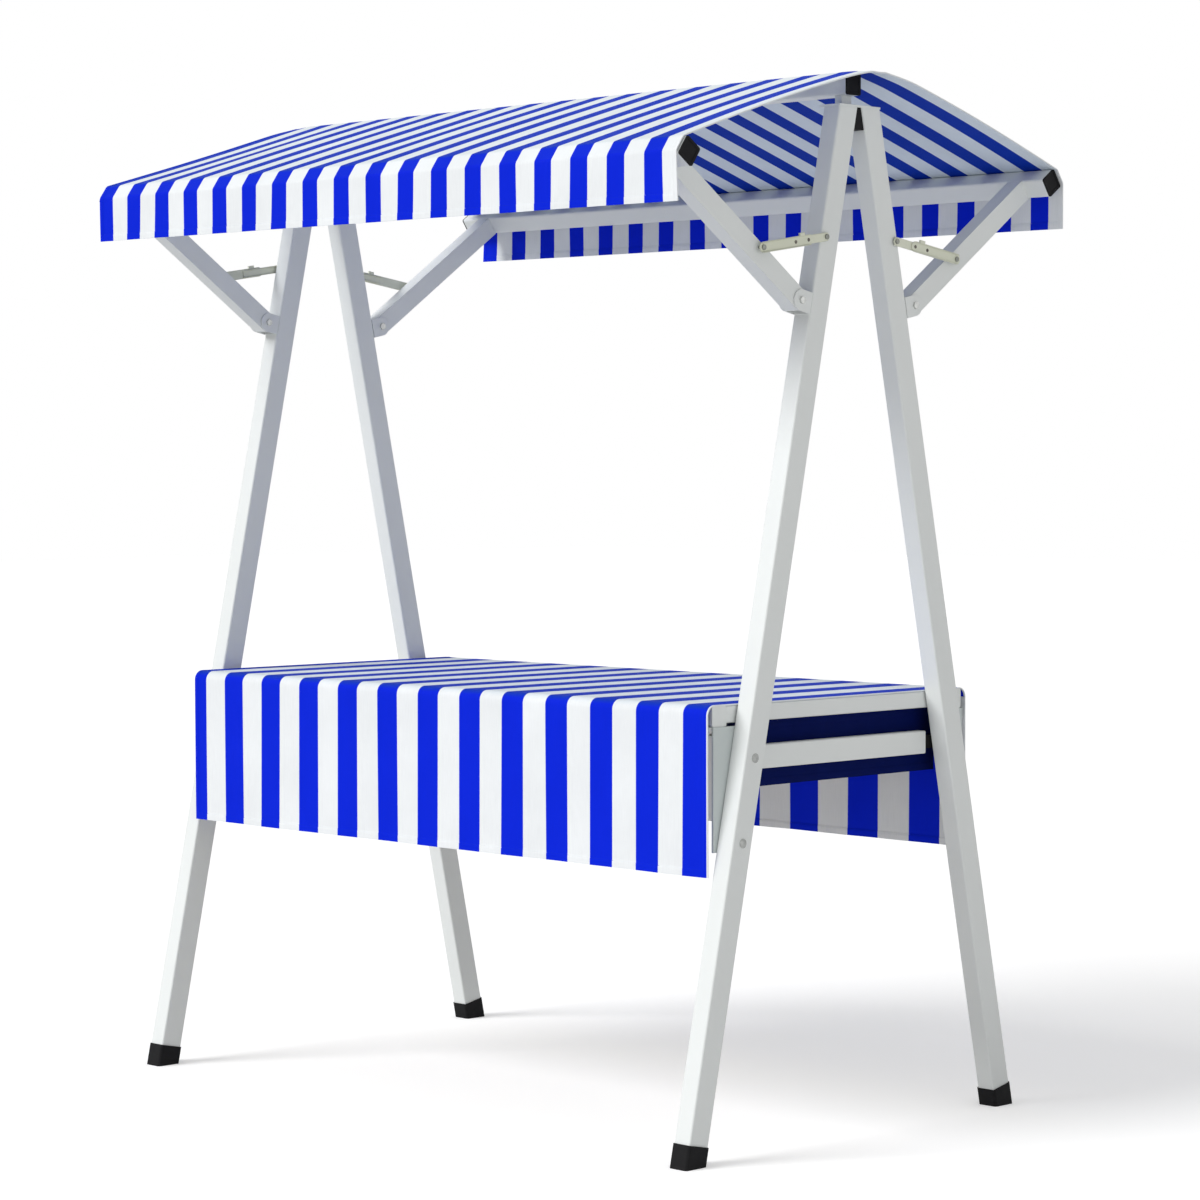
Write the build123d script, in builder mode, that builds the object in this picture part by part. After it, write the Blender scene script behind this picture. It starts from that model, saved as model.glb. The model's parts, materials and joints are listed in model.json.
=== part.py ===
from build123d import *

import os
from math import cos, hypot, radians, sin, tan

# Folding market stall: two A-shaped end frames under a ridge beam, two awning wings on
# pivoting arms with elbow stays, and a cloth-covered table hung between the frames.
# Millimetres, +Z up, the front faces -Y, the right end is at +X, and the origin is on the
# ground below the middle of the ridge.

# End frames
bay_length = 1524.0  # between the middles of the two end frames
leg_lean = 12.0  # degrees from upright
leg_top = 1924.0  # height of the flat cut at the top of each leg
leg_top_gap = 12.0  # clear gap between a pair of legs at their tops
leg_width = 40.0
leg_depth = 50.0
tube_wall = 1.5
tube_corner = 4.0

# Feet
foot_wall = 2.0
foot_height = 40.0  # up the leg, from the ground at the leg's axis
foot_sole = 4.0
foot_clearance = 0.2

# Ridge beam and the brackets that carry it
ridge_size = 40.0
ridge_overhang = 4.0  # past the middle of each end frame
ridge_rise = 24.0  # from the leg tops to the beam's underside
apex_plate = 4.0
apex_neck_width = 28.0
apex_neck_length = 16.0
apex_neck_inset = 18.0  # from the beam's end to the neck's outer face
spacer_drop = 41.0  # from the leg tops to the foot of the spacer between them

# End caps of the ridge and eave tubes
cap_plate = 3.0
cap_plug = 12.0
cap_clearance = 0.3
cap_rim = 5.0  # round the sunk middle of each cap's face
cap_recess = 1.0

# Awning arms and their brackets
arm_pivot_drop = 381.0  # down the leg's axis, from its top
arm_leg_gap = 6.5  # between the folded arm and the leg
arm_depth = 40.0
arm_reach = 430.0  # from the pivot to the middle of the eave bar
arm_rise = 35.1  # degrees above level
bracket_back = 3.0
bracket_ear = 2.5
bracket_ear_radius = 20.0
bracket_side_gap = 0.5
pivot_radius = 4.0
pivot_running_gap = 0.05
pivot_hole_gap = 0.2
pivot_head_radius = 7.5
pivot_head_height = 4.0

# Eave bars
eave_size = 40.0
canopy_overhang = 71.0  # past the middle of each end frame

# Elbow stays
stay_leg_rise = 128.0  # up the leg's axis, from the arm's pivot
stay_leg_inset = 9.0  # from the leg's outer face
stay_arm_along = 144.5  # out along the arm, from its pivot
stay_arm_inset = 10.0  # from the arm's upper face
stay_inner_height = 16.0
stay_outer_height = 20.0
stay_channel = 4.0
stay_sheet = 1.5
stay_leg_offset = 1.5  # from the leg's side to the inner link
stay_link_gap = 0.5
stay_tail = 36.0  # how far the outer link runs on past the elbow
stay_stud_radius = 3.0
stay_head_radius = 5.0
stay_head_height = 2.0
stay_latch_length = 14.0
stay_latch_height = 5.0
stay_elbow_share = 0.5

# Table
table_height = 824.0
table_end_gap = 3.0  # from the legs' inner faces
table_reach = 88.6  # from the legs' axes at table height to the long rails' outer faces
rail_size = 38.0
end_rail_height = 32.0
end_rail_width = 30.0
rail_vent = 6.0  # square vent under the middle of each long rail
bar_chamfer = 2.0  # along the edges of the end rails and crossbars
panel_thickness = 6.0
seat_overhang = 8.0
seat_height = 17.0
seat_length = 40.0
hanger_plate = 4.0
hanger_drop = 228.0
hanger_lap_share = 0.25  # of the leg's depth, past the leg's axis
crossbar_height = 44.0
crossbar_depth = 20.0
crossbar_fall = 99.0  # from the table's top to the bar's middle
crossbar_end_gap = 12.0  # from the bar's ends to the legs
lug_height = 24.0
lug_insert = 30.0  # how far each lug plugs into the bar
lug_lap = 15.0  # past the leg's axis

# Cloth
cloth_solid = 3.0
cloth_gap = 0.3
valance_drop = 83.0
tablecloth_overhang = 1.0  # past the table's ends
tablecloth_drop = 314.0
tablecloth_standoff = 11.0  # from the long rails' outer faces
curtain_drop = 124.0
curtain_gap = 3.0
curtain_side_gap = 6.0

overrun = 60.0  # how far cutting and trimmed shapes run past what they meet

# The rear right leg's axis and the pivots that follow from it
lean = radians(leg_lean)
rise = radians(arm_rise)
leg_x = bay_length / 2
ridge_end = leg_x + ridge_overhang
canopy_length = bay_length + 2 * canopy_overhang
leg_top_y = leg_top_gap / 2 + leg_depth / 2 / cos(lean)
foot_y = leg_top_y + leg_top * tan(lean)
leg_plane = Plane(origin=(leg_x, foot_y, 0), x_dir=(1, 0, 0), z_dir=(0, -sin(lean), cos(lean)))


def leg_point(along, out):
    """Height and depth of a point up the rear leg's axis and out from it, square to it."""
    return foot_y - along * sin(lean) + out * cos(lean), along * cos(lean) + out * sin(lean)


def leg_axis_y(height):
    """Distance of the leg's axis from the middle of the stall at a height."""
    return foot_y - height * tan(lean)


arm_width = leg_width - 2 * (bracket_ear + bracket_side_gap)
arm_pivot_along = leg_top / cos(lean) - arm_pivot_drop
arm_pivot_offset = arm_leg_gap + arm_depth / 2
pivot_y, pivot_z = leg_point(arm_pivot_along, leg_depth / 2 + arm_pivot_offset)
pivot_plane = Plane(origin=(leg_x, pivot_y, pivot_z), x_dir=(0, cos(lean), sin(lean)), z_dir=(1, 0, 0))
arm_plane = Plane(origin=(leg_x, pivot_y, pivot_z), x_dir=(0, cos(rise), sin(rise)), z_dir=(1, 0, 0))


def arm_point(along, up):
    """Depth and height of a point out along the rear arm and up from its axis."""
    return pivot_y + along * cos(rise) - up * sin(rise), pivot_z + along * sin(rise) + up * cos(rise)


def write(piece, name):
    """Label a finished piece and save it."""
    piece.part.label = name
    export_step(piece.part, f"parts/{name}.step")


def place_corner(master, side, end):
    """Copy of a piece made for the rear right corner, at another corner."""
    with BuildPart() as piece:
        add(master.part)
        if side == "front":
            mirror(about=Plane.XZ, mode=Mode.REPLACE)
        if end == "left":
            mirror(about=Plane.YZ, mode=Mode.REPLACE)
    return piece


def write_corners(master, name):
    """Save a corner piece at all four corners, each under its own name."""
    for side in ("front", "rear"):
        for end in ("left", "right"):
            write(place_corner(master, side, end), f"{side}_{end}_{name}")


os.makedirs("parts", exist_ok=True)

# Legs: rectangular tubes, cut level at the foot and at the top
with BuildPart() as leg:
    with BuildSketch(leg_plane.offset(-overrun)):
        RectangleRounded(leg_width, leg_depth, tube_corner)
        Rectangle(leg_width - 2 * tube_wall, leg_depth - 2 * tube_wall, mode=Mode.SUBTRACT)
    extrude(amount=leg_top / cos(lean) + 2 * overrun)
    split(bisect_by=Plane.XY.offset(foot_sole), keep=Keep.TOP)
    split(bisect_by=Plane.XY.offset(leg_top), keep=Keep.BOTTOM)
write_corners(leg, "leg")

# Feet: moulded cups over the leg ends, flat on the ground
foot_grown = 2 * (foot_clearance + foot_wall)
with BuildPart() as foot_pocket:
    with BuildSketch(leg_plane.offset(-overrun)):
        Rectangle(leg_width + 2 * foot_clearance, leg_depth + 2 * foot_clearance)
    extrude(amount=foot_height + 2 * overrun)
    split(bisect_by=Plane.XY.offset(foot_sole), keep=Keep.TOP)
with BuildPart() as foot:
    with BuildSketch(leg_plane.offset(-overrun)):
        RectangleRounded(
            leg_width + foot_grown, leg_depth + foot_grown, tube_corner + foot_clearance + foot_wall
        )
    extrude(amount=foot_height + overrun)
    split(bisect_by=Plane.XY, keep=Keep.TOP)
    add(foot_pocket.part, mode=Mode.SUBTRACT)
write_corners(foot, "foot")

# Ridge beam, with a plug cap in each end
ridge_bottom = leg_top + ridge_rise
ridge_z = ridge_bottom + ridge_size / 2
ridge_tube_end = ridge_end - cap_plate
with BuildPart() as ridge_beam:
    with BuildSketch(Plane.YZ.offset(-ridge_tube_end)):
        with Locations((0, ridge_z)):
            RectangleRounded(ridge_size, ridge_size, tube_corner)
            Rectangle(ridge_size - 2 * tube_wall, ridge_size - 2 * tube_wall, mode=Mode.SUBTRACT)
    extrude(amount=2 * ridge_tube_end)
write(ridge_beam, "ridge_beam")

plug_shrink = 2 * (tube_wall + cap_clearance)
with BuildPart() as ridge_end_caps:
    with BuildSketch(Plane.YZ.offset(ridge_tube_end)):
        with Locations((0, ridge_z)):
            RectangleRounded(ridge_size, ridge_size, tube_corner)
    extrude(amount=cap_plate)
    with BuildSketch(Plane.YZ.offset(ridge_tube_end)):
        with Locations((0, ridge_z)):
            Rectangle(ridge_size - plug_shrink, ridge_size - plug_shrink)
    extrude(amount=-cap_plug)
    with BuildSketch(Plane.YZ.offset(ridge_end)):
        with Locations((0, ridge_z)):
            Rectangle(ridge_size - 2 * cap_rim, ridge_size - 2 * cap_rim)
    extrude(amount=-cap_recess, mode=Mode.SUBTRACT)
    mirror(about=Plane.YZ)
write(ridge_end_caps, "ridge_end_caps")

# Apex brackets: a plate over both leg tops and a neck that carries the ridge beam
apex_reach = leg_top_y + leg_depth / 2 / cos(lean)
neck_end = ridge_end - apex_neck_inset
neck_start = neck_end - apex_neck_length
plate_end = leg_x + leg_width / 2
with BuildPart() as apex_brackets:
    with BuildSketch(Plane.XY.offset(leg_top)):
        with Locations((neck_start, 0)):
            Rectangle(plate_end - neck_start, 2 * apex_reach, align=(Align.MIN, Align.CENTER))
    extrude(amount=apex_plate)
    with BuildSketch(Plane.XY.offset(leg_top + apex_plate)):
        with Locations((neck_start, 0)):
            Rectangle(apex_neck_length, apex_neck_width, align=(Align.MIN, Align.CENTER))
    extrude(amount=ridge_rise - apex_plate)
    mirror(about=Plane.YZ)
write(apex_brackets, "apex_brackets")

# Leg head spacers: moulded wedges that fill the gap between each pair of leg heads
spacer_width = leg_width - 2 * tube_corner
spacer_top = leg_top_gap / 2
spacer_foot = spacer_top + spacer_drop * tan(lean)
with BuildPart() as leg_head_spacers:
    with BuildSketch(Plane.YZ.offset(leg_x - spacer_width / 2)):
        with BuildLine():
            Polyline(
                (-spacer_top, leg_top),
                (spacer_top, leg_top),
                (spacer_foot, leg_top - spacer_drop),
                (-spacer_foot, leg_top - spacer_drop),
                close=True,
            )
        make_face()
    extrude(amount=spacer_width)
    mirror(about=Plane.YZ)
write(leg_head_spacers, "leg_head_spacers")

# Arm brackets: a folded clevis on the outer face of each leg
with BuildPart() as arm_bracket:
    with BuildSketch(pivot_plane):
        Circle(bracket_ear_radius)
        Rectangle(arm_pivot_offset, 2 * bracket_ear_radius, align=(Align.MAX, Align.CENTER))
    extrude(amount=leg_width / 2, both=True)
    with BuildSketch(pivot_plane):
        with Locations((bracket_back - arm_pivot_offset, 0)):
            Rectangle(arm_pivot_offset + overrun, 2 * overrun, align=(Align.MIN, Align.CENTER))
    extrude(amount=arm_width / 2 + bracket_side_gap, both=True, mode=Mode.SUBTRACT)
    with BuildSketch(pivot_plane):
        Circle(pivot_radius + pivot_hole_gap)
    extrude(amount=overrun, both=True, mode=Mode.SUBTRACT)
with BuildPart() as arm_brackets:
    add(arm_bracket.part)
    mirror(about=Plane.XZ)
    mirror(about=Plane.YZ)
write(arm_brackets, "arm_brackets")

# Pivot bolts through the brackets and arms, with a hexagon head and nut
with BuildPart() as pivot_bolt:
    with BuildSketch(pivot_plane):
        Circle(pivot_radius)
    extrude(amount=leg_width / 2, both=True)
    for head_plane, turn in ((pivot_plane.offset(leg_width / 2), 1), (pivot_plane.offset(-leg_width / 2), -1)):
        with BuildSketch(head_plane):
            RegularPolygon(pivot_head_radius, side_count=6)
        extrude(amount=turn * pivot_head_height)
with BuildPart() as arm_pivot_bolts:
    add(pivot_bolt.part)
    mirror(about=Plane.XZ)
    mirror(about=Plane.YZ)
write(arm_pivot_bolts, "arm_pivot_bolts")

# Arms: tubes rounded about the pivot, square where they meet the eave bar
arm_length = arm_reach - eave_size / 2
with BuildPart() as arm:
    with BuildSketch(arm_plane):
        Circle(arm_depth / 2)
        Rectangle(arm_length, arm_depth, align=(Align.MIN, Align.CENTER))
    extrude(amount=arm_width / 2, both=True)
    with BuildSketch(arm_plane):
        with Locations((-arm_depth, 0)):
            Rectangle(
                arm_length + arm_depth, arm_depth - 2 * tube_wall, align=(Align.MIN, Align.CENTER)
            )
    extrude(amount=arm_width / 2 - tube_wall, both=True, mode=Mode.SUBTRACT)
    with BuildSketch(arm_plane):
        Circle(pivot_radius + pivot_running_gap)
    extrude(amount=overrun, both=True, mode=Mode.SUBTRACT)
write_corners(arm, "arm")

# Eave bars, turned with the arms, and their plug caps
eave_y, eave_z = arm_point(arm_reach, 0)
eave_tube_end = canopy_length / 2 - cap_plate
eave_plane = Plane(origin=(0, eave_y, eave_z), x_dir=(0, cos(rise), sin(rise)), z_dir=(1, 0, 0))
with BuildPart() as eave_bar:
    with BuildSketch(eave_plane.offset(-eave_tube_end)):
        RectangleRounded(eave_size, eave_size, tube_corner)
        Rectangle(eave_size - 2 * tube_wall, eave_size - 2 * tube_wall, mode=Mode.SUBTRACT)
    extrude(amount=2 * eave_tube_end)
with BuildPart() as eave_caps:
    with BuildSketch(eave_plane.offset(eave_tube_end)):
        RectangleRounded(eave_size, eave_size, tube_corner)
    extrude(amount=cap_plate)
    with BuildSketch(eave_plane.offset(eave_tube_end)):
        Rectangle(eave_size - plug_shrink, eave_size - plug_shrink)
    extrude(amount=-cap_plug)
    with BuildSketch(eave_plane.offset(canopy_length / 2)):
        Rectangle(eave_size - 2 * cap_rim, eave_size - 2 * cap_rim)
    extrude(amount=-cap_recess, mode=Mode.SUBTRACT)
    mirror(about=Plane.YZ)
for side in ("front", "rear"):
    write(place_corner(eave_bar, side, "right"), f"{side}_eave_bar")
    write(place_corner(eave_caps, side, "right"), f"{side}_eave_caps")

# Elbow stays: an inner link on the leg and an outer link on the arm, both folded channels,
# straight at rest and broken at the elbow when the wing folds up
stay_leg_y, stay_leg_z = leg_point(arm_pivot_along + stay_leg_rise, leg_depth / 2 - stay_leg_inset)
stay_arm_y, stay_arm_z = arm_point(stay_arm_along, arm_depth / 2 - stay_arm_inset)
stay_span_y = stay_arm_y - stay_leg_y
stay_span_z = stay_arm_z - stay_leg_z
stay_length = hypot(stay_span_y, stay_span_z)
inner_link = stay_length * stay_elbow_share
outer_link = stay_length - inner_link
inner_face = leg_x + leg_width / 2 + stay_leg_offset
outer_face = inner_face + stay_channel + stay_link_gap
stay_dir = (0, stay_span_y, stay_span_z)
inner_plane = Plane(origin=(inner_face, stay_leg_y, stay_leg_z), x_dir=stay_dir, z_dir=(1, 0, 0))
outer_plane = Plane(origin=(outer_face, stay_arm_y, stay_arm_z), x_dir=stay_dir, z_dir=(1, 0, 0))
inner_half = stay_inner_height / 2
outer_half = stay_outer_height / 2

with BuildPart() as stay_inner_link:
    with BuildSketch(inner_plane):
        Rectangle(inner_link + inner_half, stay_inner_height, align=(Align.MIN, Align.CENTER))
        Circle(inner_half)
    extrude(amount=stay_channel)
    with BuildSketch(inner_plane):
        with Locations((-inner_half, 0)):
            Rectangle(
                inner_link + stay_inner_height,
                stay_inner_height - 2 * stay_sheet,
                align=(Align.MIN, Align.CENTER),
            )
    extrude(amount=stay_channel - stay_sheet, mode=Mode.SUBTRACT)
    with BuildSketch(inner_plane):
        Circle(stay_stud_radius + pivot_running_gap)
    extrude(amount=stay_channel, mode=Mode.SUBTRACT)
write_corners(stay_inner_link, "stay_inner_link")

outer_run = outer_link + stay_tail
with BuildPart() as stay_outer_link:
    with BuildSketch(outer_plane):
        Rectangle(outer_run, stay_outer_height, align=(Align.MAX, Align.CENTER))
        Circle(outer_half)
        with Locations((-outer_run, 0)):
            Circle(outer_half)
    extrude(amount=stay_channel)
    with BuildSketch(outer_plane.offset(stay_sheet)):
        with Locations((outer_half, 0)):
            Rectangle(
                outer_run + stay_outer_height,
                stay_outer_height - 2 * stay_sheet,
                align=(Align.MAX, Align.CENTER),
            )
    extrude(amount=stay_channel - stay_sheet, mode=Mode.SUBTRACT)
    with BuildSketch(outer_plane):
        Circle(stay_stud_radius + pivot_running_gap)
    extrude(amount=stay_channel, mode=Mode.SUBTRACT)
    with BuildSketch(outer_plane):
        with Locations((-outer_link - stay_tail / 2, outer_half)):
            Rectangle(stay_latch_length, stay_latch_height, align=(Align.CENTER, Align.MIN))
    extrude(amount=stay_channel)
write_corners(stay_outer_link, "stay_outer_link")

# Studs that the links turn on, with a flat twelve-sided head outside each link's web
with BuildPart() as leg_stud:
    with BuildSketch(inner_plane.offset(-stay_leg_offset)):
        Circle(stay_stud_radius)
    extrude(amount=stay_leg_offset + stay_channel + stay_link_gap)
    with BuildSketch(inner_plane.offset(stay_channel + stay_link_gap)):
        RegularPolygon(stay_head_radius, side_count=12)
    extrude(amount=stay_head_height)
with BuildPart() as stay_leg_studs:
    add(leg_stud.part)
    mirror(about=Plane.XZ)
    mirror(about=Plane.YZ)
write(stay_leg_studs, "stay_leg_studs")

arm_side = leg_x + arm_width / 2
with BuildPart() as arm_studs:
    with BuildSketch(outer_plane.offset(arm_side - outer_face)):
        Circle(stay_stud_radius)
    extrude(amount=outer_face - arm_side + stay_sheet + stay_link_gap)
    with BuildSketch(outer_plane.offset(stay_sheet + stay_link_gap)):
        RegularPolygon(stay_head_radius, side_count=12)
    extrude(amount=stay_head_height)
    mirror(about=Plane.YZ)
for side in ("front", "rear"):
    write(place_corner(arm_studs, side, "right"), f"{side}_stay_arm_studs")

# Table: two long rails with closed ends, two end rails and a panel let in between them
rail_outer = leg_axis_y(table_height) + table_reach
rail_middle = rail_outer - rail_size / 2
rail_inner = rail_outer - rail_size
rail_bottom = table_height - rail_size
table_end = leg_x - leg_width / 2 - table_end_gap
table_length = 2 * table_end
with BuildPart() as table_rail:
    with BuildSketch(Plane.YZ.offset(-table_end)):
        with Locations((rail_middle, table_height - rail_size / 2)):
            RectangleRounded(rail_size, rail_size, tube_corner)
    extrude(amount=table_length)
    with BuildSketch(Plane.YZ.offset(tube_wall - table_end)):
        with Locations((rail_middle, table_height - rail_size / 2)):
            Rectangle(rail_size - 2 * tube_wall, rail_size - 2 * tube_wall)
    extrude(amount=table_length - 2 * tube_wall, mode=Mode.SUBTRACT)
    with BuildSketch(Plane.XY.offset(rail_bottom)):
        with Locations((0, rail_middle)):
            Rectangle(rail_vent, rail_vent)
    extrude(amount=tube_wall, mode=Mode.SUBTRACT)
for side in ("front", "rear"):
    write(place_corner(table_rail, side, "right"), f"{side}_table_rail")

with BuildPart() as end_rail:
    with BuildSketch(Plane.XZ.offset(-rail_inner)) as end_rail_section:
        with Locations((table_end - end_rail_width / 2, table_height - end_rail_height / 2)):
            Rectangle(end_rail_width, end_rail_height)
            chamfer(end_rail_section.vertices(), length=bar_chamfer)
            Rectangle(end_rail_width - 2 * tube_wall, end_rail_height - 2 * tube_wall, mode=Mode.SUBTRACT)
    extrude(amount=2 * rail_inner)
for end in ("left", "right"):
    write(place_corner(end_rail, "rear", end), f"{end}_table_end_rail")

panel_length = table_length - 2 * end_rail_width
with BuildPart() as table_panel:
    with BuildSketch(Plane.XY.offset(table_height - panel_thickness)):
        Rectangle(panel_length, 2 * rail_inner)
    extrude(amount=panel_thickness)
write(table_panel, "table_panel")

# Table hangers: a gusset plate on the inner face of each leg with a seat for the long rail
hanger_face = leg_x - leg_width / 2
hanger_lap = leg_depth * hanger_lap_share
hanger_bottom = rail_bottom - hanger_drop
with BuildPart() as table_hanger:
    with BuildSketch(Plane.YZ.offset(hanger_face - hanger_plate)):
        with BuildLine():
            Polyline(
                (rail_outer, rail_bottom),
                (rail_outer, hanger_bottom),
                (leg_axis_y(hanger_bottom) - hanger_lap, hanger_bottom),
                (leg_axis_y(rail_bottom) - hanger_lap, rail_bottom),
                close=True,
            )
        make_face()
    extrude(amount=hanger_plate)
    with BuildSketch(Plane.YZ.offset(hanger_face - hanger_plate)):
        with Locations((rail_middle, rail_bottom - seat_height / 2)):
            Rectangle(rail_size + 2 * seat_overhang, seat_height)
            Rectangle(
                rail_size + 2 * (seat_overhang - tube_wall), seat_height - 2 * tube_wall, mode=Mode.SUBTRACT
            )
    extrude(amount=-seat_length)
for end in ("left", "right"):
    with BuildPart() as table_hangers:
        add(place_corner(table_hanger, "rear", end).part)
        mirror(about=Plane.XZ)
    write(table_hangers, f"{end}_table_hangers")

# Crossbars: tie each pair of legs together, on moulded lugs that lap the hanger plates
crossbar_face = hanger_face - hanger_plate
crossbar_level = table_height - crossbar_fall
crossbar_x = crossbar_face - crossbar_depth / 2
crossbar_end = leg_axis_y(crossbar_level) - leg_depth / 2 / cos(lean) - crossbar_end_gap
lug_end = leg_axis_y(crossbar_level) + lug_lap
with BuildPart() as crossbar:
    with BuildSketch(Plane.XZ.offset(-crossbar_end)) as crossbar_section:
        with Locations((crossbar_x, crossbar_level)):
            Rectangle(crossbar_depth, crossbar_height)
            chamfer(crossbar_section.vertices(), length=bar_chamfer)
            Rectangle(crossbar_depth - 2 * tube_wall, crossbar_height - 2 * tube_wall, mode=Mode.SUBTRACT)
    extrude(amount=2 * crossbar_end)
for end in ("left", "right"):
    write(place_corner(crossbar, "rear", end), f"{end}_crossbar")

with BuildPart() as crossbar_lug:
    with BuildSketch(Plane.XZ.offset(-crossbar_end)):
        with Locations((crossbar_x, crossbar_level)):
            Rectangle(crossbar_depth, lug_height)
    extrude(amount=crossbar_end - lug_end)
    with BuildSketch(Plane.XZ.offset(-crossbar_end)):
        with Locations((crossbar_x, crossbar_level)):
            Rectangle(crossbar_depth - plug_shrink, crossbar_height - plug_shrink)
    extrude(amount=lug_insert)
with BuildPart() as crossbar_lugs:
    add(crossbar_lug.part)
    mirror(about=Plane.XZ)
    mirror(about=Plane.YZ)
write(crossbar_lugs, "crossbar_lugs")

# Canopy: one slope of cloth on each side, from the ridge to the top edge of the eave bar
corner_reach = (eave_size / 2 + cloth_gap) * hypot(1, 1)
eave_top_y = eave_y + corner_reach * cos(rise + radians(45))
eave_top_z = eave_z + corner_reach * sin(rise + radians(45))
eave_out_y = eave_y + corner_reach * cos(rise - radians(45))
eave_out_z = eave_z + corner_reach * sin(rise - radians(45))
ridge_cloth = ridge_bottom + ridge_size + cloth_gap
with BuildPart() as canopy:
    with BuildSketch(Plane.YZ.offset(-canopy_length / 2)):
        with BuildLine():
            Polyline(
                (0, ridge_cloth),
                (ridge_size / 2, ridge_cloth),
                (eave_top_y, eave_top_z),
                (eave_top_y, eave_top_z + cloth_solid),
                (ridge_size / 2, ridge_cloth + cloth_solid),
                (0, ridge_cloth + cloth_solid),
                close=True,
            )
        make_face()
    extrude(amount=canopy_length)
for side in ("front", "rear"):
    write(place_corner(canopy, side, "right"), f"{side}_canopy")

# Valances: the cloth's edge, over the eave bar's outer face and hanging free below it
valance_inner = eave_out_y + cloth_gap
valance_bottom = eave_out_z - valance_drop
with BuildPart() as valance:
    with BuildSketch(Plane.YZ.offset(-canopy_length / 2)):
        with BuildLine():
            Polyline(
                (eave_top_y + cloth_gap, eave_top_z),
                (valance_inner, eave_out_z),
                (valance_inner, valance_bottom),
                (valance_inner + cloth_solid, valance_bottom),
                (valance_inner + cloth_solid, eave_out_z + cloth_solid),
                (eave_top_y + cloth_gap, eave_top_z + cloth_solid),
                close=True,
            )
        make_face()
    extrude(amount=canopy_length)
for side in ("front", "rear"):
    write(place_corner(valance, side, "right"), f"{side}_valance")

# Tablecloth: a top and a drop on each long side
cloth_bottom = table_height + cloth_gap
cloth_edge = rail_outer + tablecloth_standoff
tablecloth_length = table_length + 2 * tablecloth_overhang
with BuildPart() as tablecloth_top:
    with BuildSketch(Plane.XY.offset(cloth_bottom)):
        Rectangle(tablecloth_length, 2 * cloth_edge)
    extrude(amount=cloth_solid)
write(tablecloth_top, "tablecloth_top")

with BuildPart() as tablecloth_drop_piece:
    with BuildSketch(Plane.YZ.offset(-tablecloth_length / 2)):
        with Locations((cloth_edge, cloth_bottom + cloth_solid)):
            Rectangle(cloth_solid, tablecloth_drop, align=(Align.MIN, Align.MAX))
    extrude(amount=tablecloth_length)
for side in ("front", "rear"):
    write(place_corner(tablecloth_drop_piece, side, "right"), f"tablecloth_{side}")

# End curtains: short cloths that hang from the end rails, inside the crossbars
curtain_face = crossbar_face - crossbar_depth - curtain_gap
curtain_reach = rail_inner - seat_overhang - curtain_side_gap
with BuildPart() as end_curtain:
    with BuildSketch(Plane.XY.offset(table_height - end_rail_height)):
        with Locations((curtain_face - cloth_solid / 2, 0)):
            Rectangle(cloth_solid, 2 * curtain_reach)
    extrude(amount=-curtain_drop)
for end in ("left", "right"):
    write(place_corner(end_curtain, "rear", end), f"{end}_end_curtain")
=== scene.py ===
import json
import math

import bmesh
import bpy
import numpy as np
from mathutils import Matrix, Vector


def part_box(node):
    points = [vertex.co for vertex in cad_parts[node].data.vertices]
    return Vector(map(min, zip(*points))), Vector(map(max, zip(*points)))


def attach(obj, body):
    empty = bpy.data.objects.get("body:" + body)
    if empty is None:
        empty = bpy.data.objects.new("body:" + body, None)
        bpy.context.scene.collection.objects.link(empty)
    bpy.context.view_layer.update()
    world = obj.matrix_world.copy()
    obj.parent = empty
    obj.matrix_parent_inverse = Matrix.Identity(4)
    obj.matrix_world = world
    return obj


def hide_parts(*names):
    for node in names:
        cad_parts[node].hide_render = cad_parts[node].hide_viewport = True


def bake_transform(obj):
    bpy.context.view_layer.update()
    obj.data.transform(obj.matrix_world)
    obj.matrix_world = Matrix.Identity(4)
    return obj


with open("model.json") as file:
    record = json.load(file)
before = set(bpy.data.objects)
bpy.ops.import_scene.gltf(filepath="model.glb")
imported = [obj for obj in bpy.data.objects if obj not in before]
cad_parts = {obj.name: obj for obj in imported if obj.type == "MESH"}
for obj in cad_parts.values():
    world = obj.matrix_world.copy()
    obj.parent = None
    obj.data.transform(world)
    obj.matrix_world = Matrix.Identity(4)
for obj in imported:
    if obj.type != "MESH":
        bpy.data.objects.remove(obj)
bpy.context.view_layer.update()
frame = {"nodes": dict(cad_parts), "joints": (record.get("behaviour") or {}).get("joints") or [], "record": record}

# The stall's looks: draped striped cloth, painted tubes, fasteners and welds around the frame.
# Metres and degrees, +Z up, the front faces -Y.

SIDES = {"front": -1, "rear": 1}  # which way each side faces along Y
ENDS = {"left": -1, "right": 1}  # which way each end faces along X

# Cloth
CLOTH = 0.0011  # thickness of one layer
HEM_CLOTH = 0.0024  # thickness of a hem
HEM_WIDTH = 0.014
SIDE_HEM = 0.010
YARN = 0.0011  # from one thread of the weave to the next
STRIPE_EDGE = 0.0005  # half the width of the change from blue to white
STRIPE_FRAY = 0.0006  # how far a stripe's edge wanders
GRID = 0.0085  # size of a cell of the mesh
ARC_STEPS = 9  # points in each fold
PLACE_DECIMALS = 7

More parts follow.
